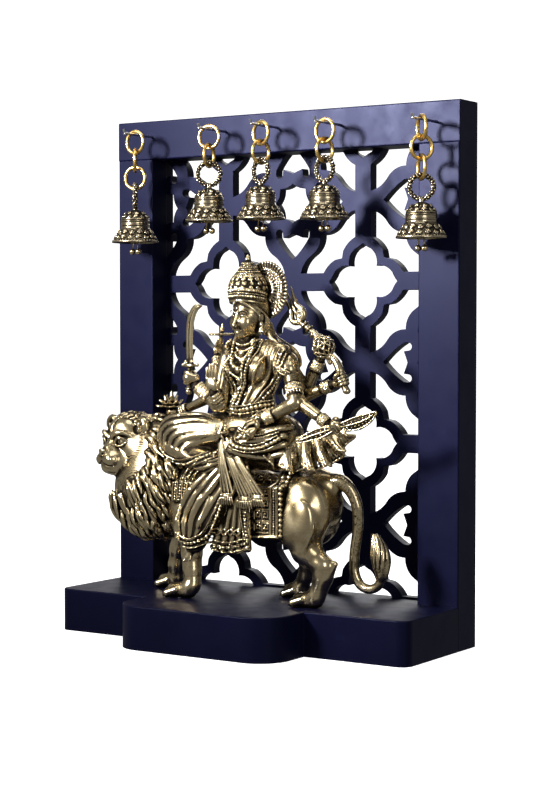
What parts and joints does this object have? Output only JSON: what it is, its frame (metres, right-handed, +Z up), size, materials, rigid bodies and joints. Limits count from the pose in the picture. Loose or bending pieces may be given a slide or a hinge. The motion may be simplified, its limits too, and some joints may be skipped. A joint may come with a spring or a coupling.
{
  "type": "deity statue",
  "caption": "Cast brass many-armed goddess riding a lion, on a stepped navy plinth before a pierced lattice frame hung with chained bells.",
  "frame": {"origin": "bottom centre of the whole object", "axes": "+Z up, -Y is the front that the goddess faces, +X to the viewer's right"},
  "size_m": [0.352, 0.171, 0.457],
  "materials": {
    "navy_wood": "satin navy paint on wood",
    "steel_pin": "bright steel",
    "yellow_brass": "polished yellow brass wire",
    "bell_brass": "antiqued brass, dark in the recesses",
    "antique_brass": "antiqued brass, polished on the heights and dark in the recesses"
  },
  "bodies": {
    "cabinet": {"arm_bow": "antique_brass", "arm_discus": "antique_brass", "arm_lotus": "antique_brass", "arm_mace": "antique_brass", "arm_palm": "antique_brass", "arm_rest": "antique_brass", "arm_sword": "antique_brass", "arm_trident": "antique_brass", "base_plinth": "navy_wood", "bell_hooks": "steel_pin", "bow": "antique_brass", "conch": "antique_brass", "crown": "antique_brass", "discus": "antique_brass", "frame_bottom_rail": "navy_wood", "frame_left_stile": "navy_wood", "frame_right_stile": "navy_wood", "frame_top_rail": "navy_wood", "goddess_head": "antique_brass", "goddess_skirt": "antique_brass", "goddess_torso": "antique_brass", "halo": "antique_brass", "jali_panel": "navy_wood", "jali_screws": "steel_pin", "lion_body": "antique_brass", "lion_head": "antique_brass", "lion_tail": "antique_brass", "lotus": "antique_brass", "mace": "antique_brass", "plinth_screws": "steel_pin", "saddle_cloth": "antique_brass", "scarf_flare": "antique_brass", "statue_screws": "steel_pin", "sword": "antique_brass", "trident": "antique_brass", "waist_sash": "antique_brass"},
    "link_1_1": {"ring_1_1": "yellow_brass"},
    "link_1_2": {"ring_1_2": "yellow_brass"},
    "link_1_3": {"ring_1_3": "yellow_brass"},
    "bell_body_1": {"bell_1": "bell_brass"},
    "clapper_body_1": {"clapper_1": "bell_brass"},
    "link_2_1": {"ring_2_1": "yellow_brass"},
    "link_2_2": {"ring_2_2": "yellow_brass"},
    "bell_body_2": {"bell_2": "bell_brass"},
    "clapper_body_2": {"clapper_2": "bell_brass"},
    "link_3_1": {"ring_3_1": "yellow_brass"},
    "link_3_2": {"ring_3_2": "yellow_brass"},
    "bell_body_3": {"bell_3": "bell_brass"},
    "clapper_body_3": {"clapper_3": "bell_brass"},
    "link_4_1": {"ring_4_1": "yellow_brass"},
    "link_4_2": {"ring_4_2": "yellow_brass"},
    "bell_body_4": {"bell_4": "bell_brass"},
    "clapper_body_4": {"clapper_4": "bell_brass"},
    "link_5_1": {"ring_5_1": "yellow_brass"},
    "link_5_2": {"ring_5_2": "yellow_brass"},
    "link_5_3": {"ring_5_3": "yellow_brass"},
    "bell_body_5": {"bell_5": "bell_brass"},
    "clapper_body_5": {"clapper_5": "bell_brass"}
  },
  "joints": [
    {"name": "ring_swing_1_1", "type": "hinge", "parent": "cabinet", "child": "link_1_1", "pos_m": [-0.1384, 0.0285, 0.4426], "axis": [0, 1, 0], "range_deg": [-8, 8]},
    {"name": "ring_swing_1_2", "type": "hinge", "parent": "link_1_1", "child": "link_1_2", "pos_m": [-0.1384, 0.0285, 0.426], "axis": [0.9962, -0.0872, 0], "range_deg": [-8, 0]},
    {"name": "ring_swing_1_3", "type": "hinge", "parent": "link_1_2", "child": "link_1_3", "pos_m": [-0.1384, 0.0285, 0.40995], "axis": [0.5736, -0.8192, 0], "range_deg": [-6, 0]},
    {"name": "bell_swing_1", "type": "hinge", "parent": "link_1_3", "child": "bell_body_1", "pos_m": [-0.1384, 0.0285, 0.3939], "axis": [0.9816, 0.1908, 0], "range_deg": [-8, 0]},
    {"name": "clapper_swing_1", "type": "hinge", "parent": "bell_body_1", "child": "clapper_body_1", "pos_m": [-0.1384, 0.0285, 0.36285], "axis": [0, 1, 0], "range_deg": [-18, 18]},
    {"name": "ring_swing_2_1", "type": "hinge", "parent": "cabinet", "child": "link_2_1", "pos_m": [-0.0573, 0.0285, 0.443], "axis": [0, 1, 0], "range_deg": [-3, 8]},
    {"name": "ring_swing_2_2", "type": "hinge", "parent": "link_2_1", "child": "link_2_2", "pos_m": [-0.0573, 0.0285, 0.4264], "axis": [0.9903, 0.1392, 0], "range_deg": [-8, 8]},
    {"name": "bell_swing_2", "type": "hinge", "parent": "link_2_2", "child": "bell_body_2", "pos_m": [-0.0573, 0.0285, 0.41035], "axis": [0.1564, -0.9877, 0], "range_deg": [-8, 1.5]},
    {"name": "clapper_swing_2", "type": "hinge", "parent": "bell_body_2", "child": "clapper_body_2", "pos_m": [-0.0573, 0.0285, 0.3793], "axis": [0, 1, 0], "range_deg": [-18, 18]},
    {"name": "ring_swing_3_1", "type": "hinge", "parent": "cabinet", "child": "link_3_1", "pos_m": [-0.003, 0.0285, 0.4435], "axis": [0, 1, 0], "range_deg": [-4, 3]},
    {"name": "ring_swing_3_2", "type": "hinge", "parent": "link_3_1", "child": "link_3_2", "pos_m": [-0.003, 0.0285, 0.4269], "axis": [0.9613, -0.2756, 0], "range_deg": [-8, 8]},
    {"name": "bell_swing_3", "type": "hinge", "parent": "link_3_2", "child": "bell_body_3", "pos_m": [-0.003, 0.0285, 0.41085], "axis": [0.225, 0.9744, 0], "range_deg": [-5, 1.5]},
    {"name": "clapper_swing_3", "type": "hinge", "parent": "bell_body_3", "child": "clapper_body_3", "pos_m": [-0.003, 0.0285, 0.3798], "axis": [0, 1, 0], "range_deg": [-18, 18]},
    {"name": "ring_swing_4_1", "type": "hinge", "parent": "cabinet", "child": "link_4_1", "pos_m": [0.0615, 0.0285, 0.442], "axis": [0, 1, 0], "range_deg": [-8, 4]},
    {"name": "ring_swing_4_2", "type": "hinge", "parent": "link_4_1", "child": "link_4_2", "pos_m": [0.0615, 0.0285, 0.4254], "axis": [0.9903, -0.1392, 0], "range_deg": [-8, 8]},
    {"name": "bell_swing_4", "type": "hinge", "parent": "link_4_2", "child": "bell_body_4", "pos_m": [0.0615, 0.0285, 0.40935], "axis": [0.2079, 0.9781, 0], "range_deg": [-8, 2]},
    {"name": "clapper_swing_4", "type": "hinge", "parent": "bell_body_4", "child": "clapper_body_4", "pos_m": [0.0615, 0.0285, 0.3783], "axis": [0, 1, 0], "range_deg": [-18, 18]},
    {"name": "ring_swing_5_1", "type": "hinge", "parent": "cabinet", "child": "link_5_1", "pos_m": [0.154, 0.0285, 0.4394], "axis": [0, 1, 0], "range_deg": [-6, 8]},
    {"name": "ring_swing_5_2", "type": "hinge", "parent": "link_5_1", "child": "link_5_2", "pos_m": [0.154, 0.0285, 0.4228], "axis": [0.766, -0.6428, 0], "range_deg": [-8, 0]},
    {"name": "ring_swing_5_3", "type": "hinge", "parent": "link_5_2", "child": "link_5_3", "pos_m": [0.154, 0.0285, 0.40675], "axis": [0.5446, 0.8387, 0], "range_deg": [-6, 0]},
    {"name": "bell_swing_5", "type": "hinge", "parent": "link_5_3", "child": "bell_body_5", "pos_m": [0.154, 0.0285, 0.3907], "axis": [0.7193, -0.6947, 0], "range_deg": [-8, 0]},
    {"name": "clapper_swing_5", "type": "hinge", "parent": "bell_body_5", "child": "clapper_body_5", "pos_m": [0.154, 0.0285, 0.35965], "axis": [0, 1, 0], "range_deg": [-18, 18]}
  ]
}
